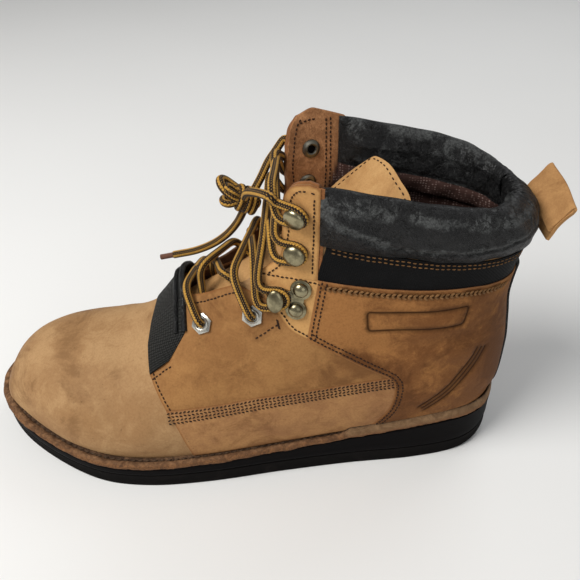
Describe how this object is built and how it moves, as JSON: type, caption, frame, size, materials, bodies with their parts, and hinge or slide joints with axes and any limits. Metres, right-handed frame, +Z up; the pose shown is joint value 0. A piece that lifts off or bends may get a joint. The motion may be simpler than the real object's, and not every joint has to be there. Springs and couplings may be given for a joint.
{
  "type": "roofing boot",
  "caption": "Lace-up ankle work boot for the left foot: tan upper with padded black collar, welted wedge sole, hooks, eyelets and laces.",
  "frame": {"origin": "on the sole's flat ground face under the middle of the foot, 150 mm in front of the heel's back edge", "axes": "+X towards the toe, +Y to the boot's outer side, +Z up"},
  "size_m": [0.3222, 0.1098, 0.1882],
  "materials": {
    "sole_pad": "matte",
    "sole_wedge": "satin",
    "welt_leather": "matte",
    "insole_board": "matte",
    "tan_nubuck": "matte",
    "collar_leather": "satin",
    "tongue_leather": "matte",
    "strap_leather": "matte",
    "nickel": "polished",
    "antique_brass": "satin",
    "lace_cord": "matte"
  },
  "bodies": {
    "root": {"outsole": "sole_pad", "midsole": "sole_wedge", "welt": "welt_leather", "insole": "insole_board", "upper": "tan_nubuck", "collar": "collar_leather", "tongue": "tongue_leather", "pull_loop": "strap_leather", "eyelet_lower_outer": "nickel", "eyelet_upper_outer": "nickel", "eyelet_lower_inner": "nickel", "eyelet_upper_inner": "nickel", "hook_lower_outer": "antique_brass", "hook_upper_outer": "antique_brass", "hook_lower_inner": "antique_brass", "hook_upper_inner": "antique_brass", "plate_hook_outer": "antique_brass", "plate_hook_inner": "antique_brass", "lace_bar_bottom": "lace_cord", "lace_crossing_eyelets": "lace_cord", "lace_crossing_ankle": "lace_cord", "lace_crossing_middle": "lace_cord", "lace_crossing_top": "lace_cord", "lace_knot": "lace_cord", "lace_tie_outer": "lace_cord", "lace_tie_inner": "lace_cord", "lace_loop_long": "lace_cord", "lace_end": "lace_cord"}
  },
  "joints": []
}
